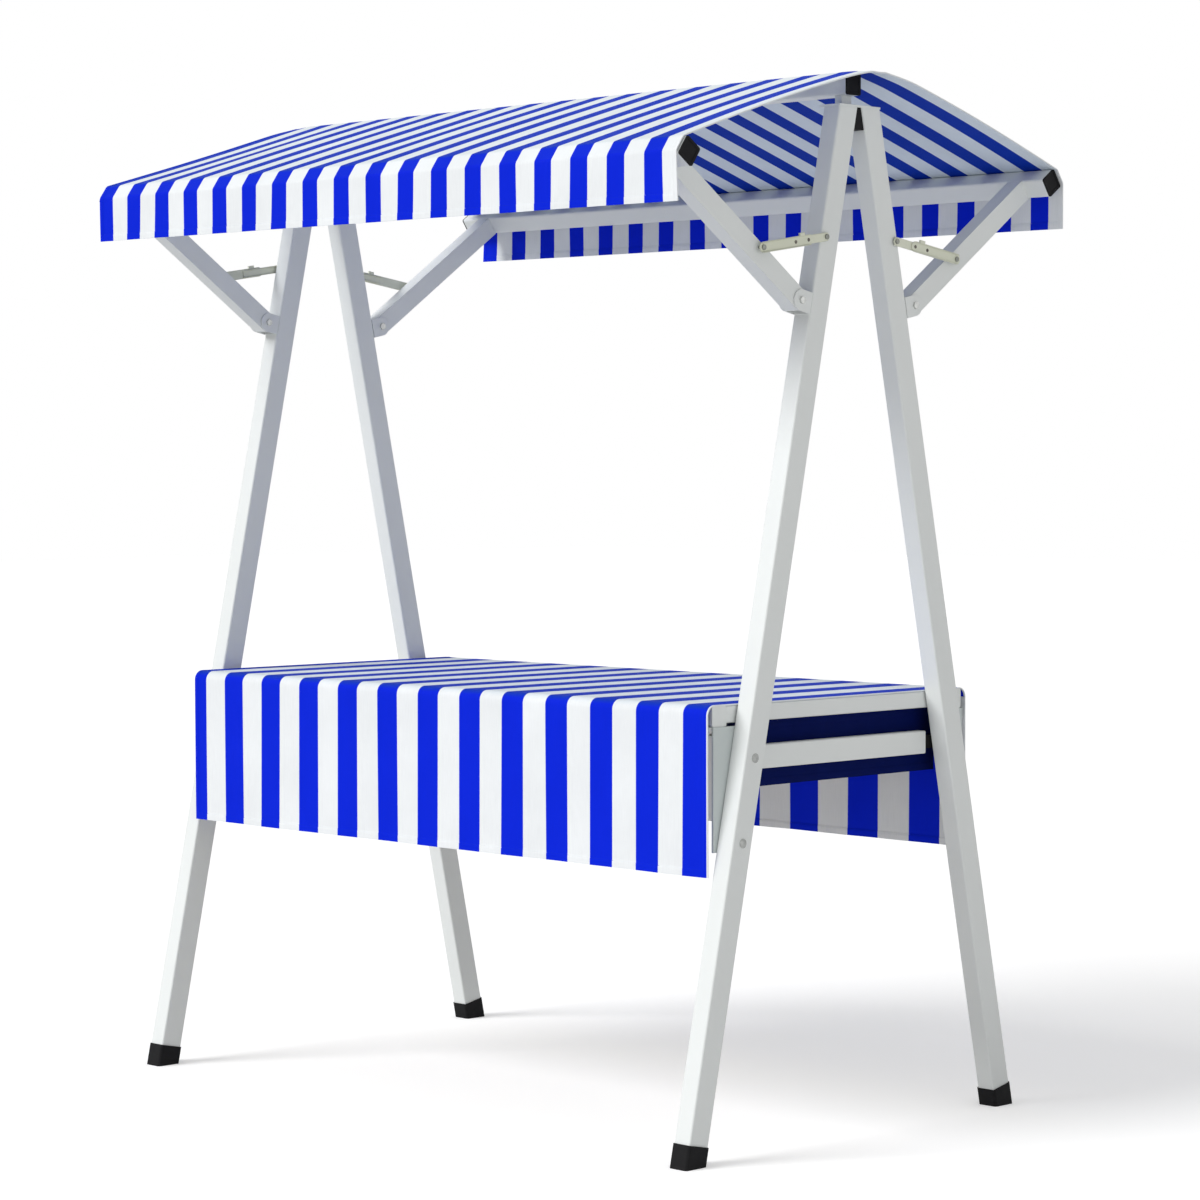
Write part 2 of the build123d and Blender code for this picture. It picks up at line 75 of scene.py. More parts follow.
# Canopy
CANOPY_GAP = 0.0012  # between the cloth and the tubes
CANOPY_PITCH = 0.0928
CANOPY_BLUE = 0.475  # share of the pitch
RIM_INSET = 0.005  # from the ends of the valance's solid
REAR_SHIFT = 0.010  # of the rear half towards the right end
REAR_SHIFT_RUN = 0.10  # out from the ridge, where the shift is whole
RIDGE_FOLD = 0.012
EAVE_FOLD = 0.012
SLOPE_CROWN = 0.001
LEFT_RIM_CROWN = -0.002
RIGHT_RIM_CROWN = 0.0045
RIM_CROWN_POWER = 4
RIDGE_DROOP = 0.0045  # of the rim, past the ridge beam's ends
RIDGE_DROOP_WIDTH = 0.05
RIDGE_DROOP_POWER = 1.5
VALANCE_CURL = 0.002
VALANCE_CURL_POWER = 12
VALANCE_HANG_POWER = 1.4
VALANCE_WAVE_SHIFT = 0.13  # so that the two valances differ

# Tablecloth and end curtains
TABLE_GAP = 0.0006  # between the cloth and the table
TABLE_FOLD = 0.018
TABLE_PITCH = 0.1200
TABLE_BLUE = 0.49  # share of the pitch
EDGE_HIGHLIGHT_STRIP = 0.003  # width of a white strip at the right end, a painted highlight of the lit cloth edge
REAR_PITCH = 0.1597  # of the wider stripes on the rear panel
REAR_STRIPE_START = 0.600
DROP_CURL = 0.0015
DROP_CURL_POWER = 10
DROP_HANG_POWER = 1.3
REAR_WAVE_SHIFT = 0.37  # so that the two drops differ
CURTAIN_HANG_POWER = 1.2

# Waves in the cloth: length, height and phase of each
SLOPE_WAVES = ((0.61, 0.0009, 0.4), (0.277, 0.0006, 2.1), (0.133, 0.0003, 4.4))
VALANCE_WAVES = ((0.43, 0.0012, 1.1), (0.197, 0.0009, 1.9), (0.091, 0.0004, 4.1))
DROP_WAVES = ((0.52, 0.0017, 0.3), (0.231, 0.0012, 2.2), (0.118, 0.0005, 5.0))
CURTAIN_WAVES = ((0.21, 0.0007, 0.8), (0.094, 0.0004, 2.9))

# Stitches
STITCH_PITCH = 0.0046
STITCH_LENGTH = 0.0033
STITCH_WIDTH = 0.0008
STITCH_HEIGHT = 0.0004
STITCH_TAPER = 0.22
SIDE_SEWN_SHARE = 0.7  # of a side hem, in from its edge
HEM_SEWN_SHARE = 0.8  # of a hem, in from its edge
SEAM_SEWN_SHARE = 0.4  # of a hem, in from the seam

# Tubes and sheet metal, as in the part's source
TUBE_CORNER = 0.004
EAVE_HALF = 0.020
ARM_DEPTH = 0.040
HANGER_PLATE = 0.004
STAY_SHEET = 0.0015

# Fasteners
CROSSBAR_BOLT = 0.729  # height above the ground
HANGER_BOLT = 0.576  # height above the ground
BOLT_RADIUS = 0.0064
BOLT_RISE = 0.0032
BOLT_TAIL_RISE = 0.0018
BOLT_FACETS = 24
WASHER_RADIUS = 0.0088
WASHER_TOP_RADIUS = 0.00836
WASHER_SIDE = 0.00084
WASHER_THICK = 0.0012
WASHER_FACETS = 28
NUT_RADIUS = 0.0072
NUT_TOP_RADIUS = 0.006336
NUT_SIDE = 0.0060
NUT_TOP = 0.0066
NUT_FACETS = 6
SHANK_RADIUS = 0.0036
SHANK_TOP_RADIUS = 0.0030
SHANK_SIDE = 0.0086
SHANK_TOP = 0.0092
SHANK_FACETS = 18
RIVET_RADIUS = 0.0034
RIVET_RISE = 0.0018
RIVET_FACETS = 20
STOP_RIVET = 0.0355  # from the elbow, towards the leg
DOME_STEPS = 5
DOME_FLAT_SHARE = 0.12  # of a dome's radius
LEVEL_TOLERANCE = 0.0001

# Welds
WELD_RADIUS = 0.0017
WELD_RIPPLE = 0.00028
WELD_PITCH = 0.0026
WELD_END_SHARE = 0.55  # of the radius
WELD_FACETS = 8
LEVEL_RUN = 0.9  # share of a bead's run along X that makes it a level one

# Edges that the materials round, and the angle that stays sharp in a mesh
PAINTED_EDGE = 0.0009
ROLLED_EDGE = 0.0025
MOULDED_EDGE = 0.0010
PLATED_EDGE = 0.0005
EDGE_SAMPLES = 4
SHARP_ANGLE = 40.0

# Camera and light
CAMERA_PLACE = (5.07278, -4.97066, 1.27603)
CAMERA_AZIMUTH = 45.025
CAMERA_PITCH = 2.344  # downwards
CAMERA_LENS = 105.22  # millimetres, as the sensor
SENSOR = 36.0
CLIP_END = 200.0
KEY_FROM = (-0.30, -0.78, 0.62)
KEY_STRENGTH = 2.25
KEY_ANGLE = 28.0
FILL_PLACE = (2.9, -0.6, 1.3)
FILL_AT = (0.75, 0.0, 1.1)
FILL_SIZE = 1.6
FILL_POWER = 4.0
SKY_STRENGTH = 0.46
FLOOR_SIZE = 60.0
FLOOR_GREY = 0.80
FLOOR_ROUGHNESS = 0.9
FLOOR_LIFT = 0.36


# Node helpers

def new_material(name):
    """An empty procedural material: its tree, its surface shader and its object coordinates."""
    material = bpy.data.materials.new(name)
    material.use_nodes = True
    tree = material.node_tree
    place = tree.nodes.new("ShaderNodeTexCoord").outputs["Object"]
    return material, tree, tree.nodes["Principled BSDF"], place


def plug(tree, socket, value):
    """Set a socket, or link it where the value is another node's output."""
    if isinstance(value, bpy.types.NodeSocket):
        tree.links.new(value, socket)
    else:
        socket.default_value = value


def add_node(tree, kind, inputs, **settings):
    """A new node with its settings, and its inputs by name or number."""
    made = tree.nodes.new(kind)
    for key, value in settings.items():
        setattr(made, key, value)
    for key, value in inputs.items():
        plug(tree, made.inputs[key], value)
    return made


def calc(tree, operation, first, second=0.0):
    """The output of a math node."""
    return add_node(tree, "ShaderNodeMath", {0: first, 1: second}, operation=operation).outputs[0]


def noise(tree, place, scale, detail=3.0, roughness=0.5):
    """A noise value from 0 to 1."""
    inputs = {"Vector": place, "Scale": scale, "Detail": detail, "Roughness": roughness}
    return add_node(tree, "ShaderNodeTexNoise", inputs).outputs["Fac"]


def drawn_noise(tree, place, scales, detail, roughness=0.5):
    """Noise with a scale of its own along each axis."""
    drawn = add_node(tree, "ShaderNodeMapping", {"Vector": place, "Scale": scales}).outputs[0]
    return noise(tree, drawn, 1.0, detail, roughness)


def spread(tree, value, source, target=(0.0, 1.0)):
    """A value carried from one range to another and held inside it."""
    inputs = {0: value, 1: source[0], 2: source[1], 3: target[0], 4: target[1]}
    return add_node(tree, "ShaderNodeMapRange", inputs).outputs[0]


def blend_colours(tree, share, first, second, how="MIX"):
    """A colour between two others, or one multiplied by the other."""
    mix = add_node(tree, "ShaderNodeMix", {}, data_type="RGBA", blend_type=how)
    plug(tree, mix.inputs[0], share)
    plug(tree, mix.inputs[6], first)
    plug(tree, mix.inputs[7], second)
    return mix.outputs[2]


def relief(tree, height, strength, distance, under=None):
    """A bumped normal, over another where one is given."""
    inputs = {"Height": height, "Strength": strength, "Distance": distance}
    if under is not None:
        inputs["Normal"] = under
    return add_node(tree, "ShaderNodeBump", inputs).outputs[0]


def soft_edges(tree, radius):
    """A normal that rounds the sharp edges of a plain solid."""
    return add_node(tree, "ShaderNodeBevel", {"Radius": radius}, samples=EDGE_SAMPLES).outputs[0]


def rgb(red, green, blue):
    """An opaque colour."""
    return red, green, blue, 1.0


# Materials

BLUE = rgb(0.0008, 0.018, 0.69)
# Painted light: the duller copies for cloth faces turned up stand for a reflection of the sky, and the darker ones
# for faces turned down are painted shade.
SKY_REFLECTION_BLUE = rgb(0.006, 0.040, 0.50)
PAINTED_SHADE_BLUE = rgb(0.0008, 0.034, 0.41)
WHITE = rgb(0.85, 0.875, 0.89)
SKY_REFLECTION_WHITE = rgb(0.81, 0.868, 0.90)
PAINTED_SHADE_WHITE = rgb(0.72, 0.80, 0.89)


def powder_coat(name, pale, dull, worn, roughness, edge=PAINTED_EDGE):
    """Sprayed paint on steel: soft clouds of tone, faint scuffs and a fine orange-peel skin."""
    material, tree, skin, place = new_material(name)
    clouds = spread(tree, noise(tree, place, scale=2.4, detail=4.0), (0.35, 0.65))
    marks = drawn_noise(tree, place, (60, 60, 14), detail=6.0, roughness=0.7)
    scuffs = spread(tree, marks, (0.64, 0.80), (0.0, 0.25))
    coat = blend_colours(tree, clouds, pale, dull)
    plug(tree, skin.inputs["Base Color"], blend_colours(tree, scuffs, coat, worn))
    patches = noise(tree, place, scale=31.0, detail=4.0)
    gloss = spread(tree, patches, (0.3, 0.7), (roughness - 0.06, roughness + 0.08))
    plug(tree, skin.inputs["Roughness"], gloss)
    peel = noise(tree, place, scale=420.0, detail=2.0)
    normal = relief(tree, peel, strength=0.10, distance=0.0004, under=soft_edges(tree, edge))
    plug(tree, skin.inputs["Normal"], normal)
    skin.inputs["Specular IOR Level"].default_value = 0.35
    return material


def moulded_black(name):
    """Moulded black plastic: a fine spark texture, dull rubbed patches and a little dust."""
    material, tree, skin, place = new_material(name)
    specks = noise(tree, place, scale=46.0, detail=6.0, roughness=0.65)
    dust = spread(tree, specks, (0.52, 0.8), (0.0, 0.5))
    colour = blend_colours(tree, dust, rgb(0.014, 0.014, 0.015), rgb(0.028, 0.028, 0.028))
    plug(tree, skin.inputs["Base Color"], colour)
    gloss = spread(tree, noise(tree, place, scale=90.0), (0.3, 0.7), (0.42, 0.58))
    plug(tree, skin.inputs["Roughness"], gloss)
    grain = noise(tree, place, scale=1500.0, detail=2.0)
    normal = relief(tree, grain, strength=0.18, distance=0.0003, under=soft_edges(tree, MOULDED_EDGE))
    plug(tree, skin.inputs["Normal"], normal)
    skin.inputs["Specular IOR Level"].default_value = 0.05
    return material


def plated_steel(name, bright, dull, roughness):
    """Plated steel: fine turned streaks, and a dull bloom in patches."""
    material, tree, skin, place = new_material(name)
    bloom = spread(tree, noise(tree, place, scale=120.0, detail=5.0), (0.35, 0.7))
    plug(tree, skin.inputs["Base Color"], blend_colours(tree, bloom, bright, dull))
    streaks = drawn_noise(tree, place, (900, 250, 900), detail=2.0)
    gloss = spread(tree, streaks, (0.3, 0.7), (roughness, roughness + 0.2))
    plug(tree, skin.inputs["Roughness"], gloss)
    normal = relief(tree, streaks, strength=0.12, distance=0.0002, under=soft_edges(tree, PLATED_EDGE))
    plug(tree, skin.inputs["Normal"], normal)
    skin.inputs["Metallic"].default_value = 1.0
    return material


def weave(tree, cloth_place):
    """Height of a plain weave, over and under from one thread to the next."""
    parts = add_node(tree, "ShaderNodeSeparateXYZ", {0: cloth_place}).outputs
    turn = math.pi / YARN
    warp = calc(tree, "SINE", calc(tree, "MULTIPLY", parts[0], turn))
    weft = calc(tree, "SINE", calc(tree, "MULTIPLY", parts[1], turn))
    slubs = drawn_noise(tree, cloth_place, (900, 60, 1), detail=2.0)
    return calc(tree, "ADD", calc(tree, "MULTIPLY", warp, weft), slubs)


def cloth_finish(tree, skin, cloth_place, colour, roughness):
    """What every cloth has: uneven dye, a woven surface and soft creases."""
    patches = noise(tree, cloth_place, scale=5.0, detail=5.0, roughness=0.6)
    uneven = spread(tree, patches, (0.3, 0.7), (0.92, 1.0))
    threads = drawn_noise(tree, cloth_place, (700, 25, 1), detail=3.0)
    shade = calc(tree, "MULTIPLY", uneven, spread(tree, threads, (0.25, 0.75), (0.94, 1.0)))
    plug(tree, skin.inputs["Base Color"], blend_colours(tree, 1.0, colour, shade, "MULTIPLY"))
    gloss = spread(tree, uneven, (0.9, 1.0), (roughness + 0.08, roughness - 0.04))
    plug(tree, skin.inputs["Roughness"], gloss)
    folds = drawn_noise(tree, cloth_place, (9, 3, 1), detail=4.0)
    creases = relief(tree, folds, strength=0.25, distance=0.004)
    normal = relief(tree, weave(tree, cloth_place), strength=0.22, distance=0.0004, under=creases)
    plug(tree, skin.inputs["Normal"], normal)
    skin.inputs["Specular IOR Level"].default_value = 0.06


def stripe_mask(tree, cloth_place, pitch, blue_share):
    """A share that is 0 on the blue stripes and 1 on the white ones, with slightly frayed edges."""
    across = add_node(tree, "ShaderNodeSeparateXYZ", {0: cloth_place}).outputs[0]
    wander = drawn_noise(tree, cloth_place, (40, 400, 1), detail=2.0)
    frayed = calc(tree, "ADD", across, calc(tree, "MULTIPLY", wander, STRIPE_FRAY))
    share = calc(tree, "FRACT", calc(tree, "DIVIDE", frayed, pitch))
    half_blue = blue_share / 2
    middle = calc(tree, "ABSOLUTE", calc(tree, "SUBTRACT", share, half_blue))
    wrapped = calc(tree, "MINIMUM", middle, calc(tree, "SUBTRACT", 1.0, middle))
    edge = STRIPE_EDGE / pitch
    return spread(tree, wrapped, (half_blue - edge, half_blue + edge))


def painted_reflection_and_shade(tree, plain, reflected, inside):
    """A colour with a painted reflection of the sky that dulls it where the cloth faces up, and painted shade
    where it faces down.
    """
    normal = tree.nodes.new("ShaderNodeNewGeometry").outputs["Normal"]
    facing = add_node(tree, "ShaderNodeSeparateXYZ", {0: normal}).outputs[2]
    upward = spread(tree, facing, (0.5, 0.9))
    downward = spread(tree, facing, (-0.5, -0.9))
    return blend_colours(tree, downward, blend_colours(tree, upward, plain, reflected), inside)


def striped_cloth(name, pitch, blue_share):
    """Cloth in blue and white stripes along the sheet's own width, with a painted reflection on faces turned up
    and painted shade on faces turned down.
    """
    material, tree, skin, _ = new_material(name)
    cloth_place = tree.nodes.new("ShaderNodeUVMap").outputs[0]
    blue_with_painted_light = painted_reflection_and_shade(tree, BLUE, SKY_REFLECTION_BLUE, PAINTED_SHADE_BLUE)
    white_with_painted_light = painted_reflection_and_shade(tree, WHITE, SKY_REFLECTION_WHITE, PAINTED_SHADE_WHITE)
    colour = blend_colours(tree, stripe_mask(tree, cloth_place, pitch, blue_share), blue_with_painted_light, white_with_painted_light)
    cloth_finish(tree, skin, cloth_place, colour, roughness=0.72)
    return material


def plain_cloth(name, first, second):
    """Cloth in one colour, a little uneven; on the end curtains this colour is painted shade."""
    material, tree, skin, _ = new_material(name)
    cloth_place = tree.nodes.new("ShaderNodeUVMap").outputs[0]
    colour = blend_colours(tree, noise(tree, cloth_place, scale=30.0, detail=4.0), first, second)
    cloth_finish(tree, skin, cloth_place, colour, roughness=0.78)
    return material


def board(name):
    """Pale fibre board, with short fibres along the table."""
    material, tree, skin, place = new_material(name)
    fibres = drawn_noise(tree, place, (25, 380, 380), detail=5.0, roughness=0.6)
    colour = blend_colours(tree, fibres, rgb(0.66, 0.56, 0.42), rgb(0.52, 0.42, 0.29))
    plug(tree, skin.inputs["Base Color"], colour)
    plug(tree, skin.inputs["Roughness"], spread(tree, fibres, (0.3, 0.7), (0.62, 0.8)))
    plug(tree, skin.inputs["Normal"], relief(tree, fibres, strength=0.2, distance=0.0005))
    return material


# The finish of each material slot
finishes = {
    "frame_paint": powder_coat(
        "frame_paint", rgb(0.785, 0.81, 0.80), rgb(0.75, 0.775, 0.765), rgb(0.65, 0.67, 0.66), 0.42
    ),
    "black_caps": moulded_black("black_caps"),
    "stay_metal": powder_coat(
        "stay_metal", rgb(0.76, 0.78, 0.65), rgb(0.70, 0.72, 0.58), rgb(0.48, 0.48, 0.38), 0.36, ROLLED_EDGE
    ),
    "fasteners": plated_steel("fasteners", rgb(0.66, 0.67, 0.65), rgb(0.48, 0.49, 0.48), 0.34),
    "canopy_cloth": striped_cloth("canopy_cloth", CANOPY_PITCH, CANOPY_BLUE),
    "table_cloth": striped_cloth("table_cloth", TABLE_PITCH, TABLE_BLUE),
    # The end curtains' dark navy is painted shade: it stands for the deep shade under the table's ends.
    "curtain_cloth": plain_cloth("curtain_cloth", rgb(0.0007, 0.005, 0.072), rgb(0.001, 0.007, 0.095)),
    "panel_board": board("panel_board"),
}

# Finishes of the added pieces, and of the nodes that look different from the rest of their slot
dull_bolt = plated_steel("dull_bolt", rgb(0.42, 0.43, 0.42), rgb(0.29, 0.30, 0.29), 0.40)
dark_rivet = plated_steel("dark_rivet", rgb(0.16, 0.15, 0.13), rgb(0.08, 0.075, 0.07), 0.35)
weld_paint = powder_coat(
    "weld_paint", rgb(0.745, 0.77, 0.76), rgb(0.695, 0.72, 0.71), rgb(0.58, 0.60, 0.59), 0.46
)
stud_steel = plated_steel("stud_steel", rgb(0.30, 0.31, 0.28), rgb(0.20, 0.21, 0.19), 0.40)
# The hangers' paint is darker than the frame's: painted shade, for the shade the tablecloth's drop casts on them.
hanger_painted_shade = powder_coat(
    "hanger_painted_shade", rgb(0.62, 0.67, 0.665), rgb(0.57, 0.62, 0.615), rgb(0.50, 0.53, 0.52), 0.45
)
own_finishes = {"_studs": stud_steel, "_table_hangers": hanger_painted_shade}


def finish_solids():
    """Give each node of the frame its slot's finish, or its own by the ending of its name."""
    for row in frame["record"]["subparts"]:
        finish = finishes[row["material_slot"]]
        for ending, own_finish in own_finishes.items():
            if row["node"].endswith(ending):
                finish = own_finish
        for slot in frame["nodes"][row["node"]].material_slots:
            slot.material = finish


finish_solids()


# Mesh helpers

def add_piece(name, part, material, uvs=None):
    """A smooth mesh object with outward faces, and its cloth coordinates where it has them."""
    mesh = bpy.data.meshes.new(name)
    mesh.from_pydata([tuple(v) for v in part[0]], [], [tuple(int(i) for i in f) for f in part[1]])
    if uvs is not None:
        layer = mesh.uv_layers.new(name="cloth")
        corners = np.zeros(len(mesh.loops), np.int32)
        mesh.loops.foreach_get("vertex_index", corners)
        layer.data.foreach_set("uv", np.asarray(uvs, np.float32)[corners].ravel())
    turned = bmesh.new()
    turned.from_mesh(mesh)
    bmesh.ops.recalc_face_normals(turned, faces=turned.faces)
    turned.to_mesh(mesh)
    turned.free()
    mesh.polygons.foreach_set("use_smooth", np.ones(len(mesh.polygons), bool))
    mesh.set_sharp_from_angle(angle=math.radians(SHARP_ANGLE))
    mesh.materials.append(material)
    piece = bpy.data.objects.new(name, mesh)
    bpy.context.scene.collection.objects.link(piece)
    return piece


def join(parts):
    """One part, a pair of vertices and faces, from several."""
    vertices, faces = [], []
    for points, corners in parts:
        faces += [[i + len(vertices) for i in f] for f in corners]
        vertices += [tuple(p) for p in points]
    return vertices, faces


def tube_faces(rings, facets):
    """Faces of a closed tube whose vertices are rings of points, one ring after another."""
    faces = []
    for ring in range(rings - 1):
        for k in range(facets):
            a, b = ring * facets + k, ring * facets + (k + 1) % facets
            faces.append((a, b, b + facets, a + facets))
    faces.append(tuple(range(facets - 1, -1, -1)))
    faces.append(tuple(range((rings - 1) * facets, rings * facets)))
    return faces


# Cloth helpers

def ripple(along, waves):
    """Height of a sum of sine waves."""
    return sum(high * np.sin(2 * np.pi * along / length + phase) for length, high, phase in waves)


def subdivided(line, step):
    """A line of points with its long runs cut into equal steps."""
    points = [line[0]]
    for a, b in zip(line, line[1:]):
        count = max(1, math.ceil(np.linalg.norm(b - a) / step))
        points += [a + (b - a) * (i + 1) / count for i in range(count)]
    return np.array(points)


def lengths_along(line):
    """Distance of each point of a line from its start."""
    return np.concatenate([[0.0], np.cumsum(np.linalg.norm(np.diff(line, axis=0), axis=1))])


def run_share(along, bent_at, first):
    """Share of the way along one run of a bent line, 0 before it and 1 past it."""
    return np.clip((along - bent_at[first]) / (bent_at[first + 1] - bent_at[first]), 0, 1)


def taut_line(start, circles, drop_to):
    """A line from start, level, over circles, then straight down: its points outward and up."""
    turns = [math.pi / 2]
    for (a, ra), (b, rb) in zip(circles, circles[1:]):
        gap = np.subtract(b, a)
        turns.append(math.atan2(gap[1], gap[0]) + math.acos((ra - rb) / np.linalg.norm(gap)))
    turns.append(0.0)
    points = [np.array(start)]
    for (centre, radius), first, last in zip(circles, turns, turns[1:]):
        for turn in np.linspace(first, last, ARC_STEPS):
            points.append(np.add(centre, (radius * math.cos(turn), radius * math.sin(turn))))
    points.append(np.array((points[-1][0], drop_to)))
    return points


def with_pairs(values, marks):
    """A row of places with a close pair added at each mark, for a step in the cloth."""
    pairs = [mark + nudge for mark in marks for nudge in (-CLOTH / 2, CLOTH / 2)]
    return np.unique(np.round(np.concatenate([values, pairs]), PLACE_DECIMALS))


def places_along(bent, marks):
    """Places along a bent line, close in pairs at the marks, and the line's points there."""
    line = subdivided(bent, GRID)
    along = lengths_along(line)
    places = with_pairs(along, marks)
    return places, np.stack([np.interp(places, along, line[:, k]) for k in range(2)], axis=1)


def places_across(low, high):
    """Places across a sheet, close in pairs at the edges of its side hems."""
    even = np.linspace(low, high, round((high - low) / GRID) + 1)
    return with_pairs(even, (low + SIDE_HEM, high - SIDE_HEM))


def hemmed(along, across, first_hem):
    """Thickness over a grid: more at the side hems, at the last end and at a hemmed first end."""
    side = np.minimum(across - across[0], across[-1] - across) < SIDE_HEM
    end = along > along[-1] - HEM_WIDTH
    if first_hem:
        end = end | (along < HEM_WIDTH)
    return np.where(end[:, None] | side[None, :], HEM_CLOTH, CLOTH)


def grid(x, y, z):
    """Points of a grid from its three coordinates."""
    return np.stack(np.broadcast_arrays(x, y, z), axis=2)


def grid_normals(points):
    """Normals of a grid of points."""
    normals = np.cross(np.gradient(points, axis=1), np.gradient(points, axis=0))
    return normals / np.linalg.norm(normals, axis=2, keepdims=True)


def cloth_piece(name, points, thickness, uvs, slot):
    """A closed sheet: a skin on each side of a grid of points, joined round the edge."""
    rows, columns = points.shape[:2]
    offset = grid_normals(points) * thickness[..., None] / 2
    vertices = np.concatenate([(points + offset).reshape(-1, 3), (points - offset).reshape(-1, 3)])
    index = np.arange(rows * columns).reshape(rows, columns)
    corners = (index[:-1, :-1], index[1:, :-1], index[1:, 1:], index[:-1, 1:])
    skin = np.stack(corners, -1).reshape(-1, 4)
    rim = np.concatenate([index[0, :-1], index[:-1, -1], index[-1, :0:-1], index[:0:-1, 0]])
    after = np.roll(rim, -1)
    back = rows * columns
    edge = np.stack([rim, after, after + back, rim + back], -1)
    faces = np.concatenate([skin, skin[:, ::-1] + back, edge])
    both = np.concatenate([uvs.reshape(-1, 2), uvs.reshape(-1, 2)])
    return add_piece(name, (vertices, faces), finishes[slot], both)


# A stitch is a low three-sided bar with a point at each end: share along it, sideways, up
STITCH_NEAR = ((STITCH_TAPER, 1.0, 0.0), (STITCH_TAPER, 0.0, 1.0), (STITCH_TAPER, -1.0, 0.0))
STITCH_FAR = tuple((1.0 - along, sideways, up) for along, sideways, up in STITCH_NEAR)
STITCH_POINTS = ((0.0, 0.0, 0.0), *STITCH_NEAR, *STITCH_FAR, (1.0, 0.0, 0.0))
STITCH_SIDES = ((1, 4, 5, 2), (2, 5, 6, 3), (3, 6, 4, 1))
STITCH_FACES = ((0, 1, 2), (0, 2, 3), (0, 3, 1), *STITCH_SIDES, (4, 7, 5), (5, 7, 6), (6, 7, 4))


def along_line(at, along, rows):
    """A row of values, read at a distance along a line."""
    return np.array([np.interp(at, along, rows[:, k]) for k in range(rows.shape[1])])


def stitches(line, outward, uvs):
    """A row of stitches along a line on a cloth's skin, with the cloth's own coordinates."""
    along = lengths_along(line)
    parts, places = [], []
    for first in np.arange(STITCH_PITCH, along[-1] - STITCH_PITCH, STITCH_PITCH):
        start = along_line(first, along, line)
        run = along_line(first + STITCH_LENGTH, along, line) - start
        up = along_line(first, along, outward)
        side = np.cross(up, run / np.linalg.norm(run)) * STITCH_WIDTH / 2
        corners = [start + run * t + side * a + up * (h * STITCH_HEIGHT) for t, a, h in STITCH_POINTS]
        parts.append((corners, STITCH_FACES))
        places += [along_line(first, along, uvs)] * len(corners)
    return join(parts), places


def stitching(name, points, thickness, uvs, rows, columns, slot):
    """A piece with the stitches on both skins of a cloth grid, along some rows and columns."""
    normals = grid_normals(points)
    parts, places = [], []
    for side in (1, -1):
        skin = points + side * normals * thickness[..., None] / 2
        lines = [(skin[i], side * normals[i], uvs[i]) for i in rows]
        lines += [(skin[:, j], side * normals[:, j], uvs[:, j]) for j in columns]
        for line, outward, line_uvs in lines:
            sewn, sewn_places = stitches(line, outward, line_uvs)
            parts.append(sewn)
            places += sewn_places
    return add_piece(name, join(parts), finishes[slot], places)


def nearest(values, value):
    """Number of the place that is closest to a value."""
    return int(np.argmin(np.abs(np.asarray(values) - value)))


def hem_columns(across):
    """Columns of the stitching in a sheet's side hems."""
    inset = SIDE_SEWN_SHARE * SIDE_HEM
    return [nearest(across, across[0] + inset), nearest(across, across[-1] - inset)]


# Canopy: a sheet on each side, from the ridge over the eave to the valance's hem

CANOPY_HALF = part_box("front_valance")[1].x - RIM_INSET
CANOPY_WIDTH = 2 * CANOPY_HALF
ridge_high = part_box("ridge_beam")[1]
joints = {joint["name"]: joint for joint in frame["joints"]}


def wing(side):
    """The middle of a wing's eave bar, outward and up, and its arms' rise."""
    low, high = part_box(f"{side}_eave_bar")
    middle = np.array(((abs(low.y) + abs(high.y)) / 2, (low.z + high.z) / 2))
    pivot = joints[f"{side}_awning_fold"]["pos_m"]
    return middle, math.atan2(middle[1] - pivot[2], middle[0] - abs(pivot[1]))


def canopy_section(side):
    """The canopy's bent line: level at the ridge, down the slope, round the eave and hanging."""
    middle, rise = wing(side)
    lift = CANOPY_GAP + CLOTH / 2
    ridge_top = ridge_high.z + lift
    ridge_edge = (ridge_high.y - TUBE_CORNER, ridge_top - RIDGE_FOLD)
    corner = math.sqrt(2) * (EAVE_HALF - TUBE_CORNER) + TUBE_CORNER + lift - EAVE_FOLD
    turns = (rise + math.pi / 4, rise - math.pi / 4)
    eave_edges = [middle + corner * np.array((math.cos(turn), math.sin(turn))) for turn in turns]
    circles = [(ridge_edge, RIDGE_FOLD)] + [(edge, EAVE_FOLD) for edge in eave_edges]
    return taut_line((0.0, ridge_top), circles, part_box(f"{side}_valance")[0].z)


def slope_lift(along, across, bent_at):
    """How far the slope stands off its straight line: a slight crown, waves and uneven rims."""
    rim = (np.abs(across) / CANOPY_HALF) ** RIM_CROWN_POWER
    rim_crown = np.where(across < 0, LEFT_RIM_CROWN, RIGHT_RIM_CROWN)
    crown = SLOPE_CROWN + (rim_crown - SLOPE_CROWN) * rim + ripple(across, SLOPE_WAVES)
    return np.sin(np.pi * run_share(along, bent_at, ARC_STEPS))[:, None] * crown[None, :]


def ridge_droop(section, across):
    """How far the rims sag at the ridge, past the beam's ends."""
    past_beam = np.clip((np.abs(across) - ridge_high.x) / (CANOPY_HALF - ridge_high.x), 0, 1)
    near_ridge = np.exp(-((section[:, 0] / RIDGE_DROOP_WIDTH) ** 2))
    return RIDGE_DROOP * near_ridge[:, None] * (past_beam**RIDGE_DROOP_POWER)[None, :]


def valance_swing(side, along, across, bent_at):
    """How far the valance hangs out of its plane: waves, and a curl at its rims."""
    hang = run_share(along, bent_at, -2) ** VALANCE_HANG_POWER
    curl = VALANCE_CURL * (np.abs(across) / CANOPY_HALF) ** VALANCE_CURL_POWER
    waves = ripple(across + VALANCE_WAVE_SHIFT * SIDES[side], VALANCE_WAVES)
    return hang[:, None] * (waves - curl)[None, :]


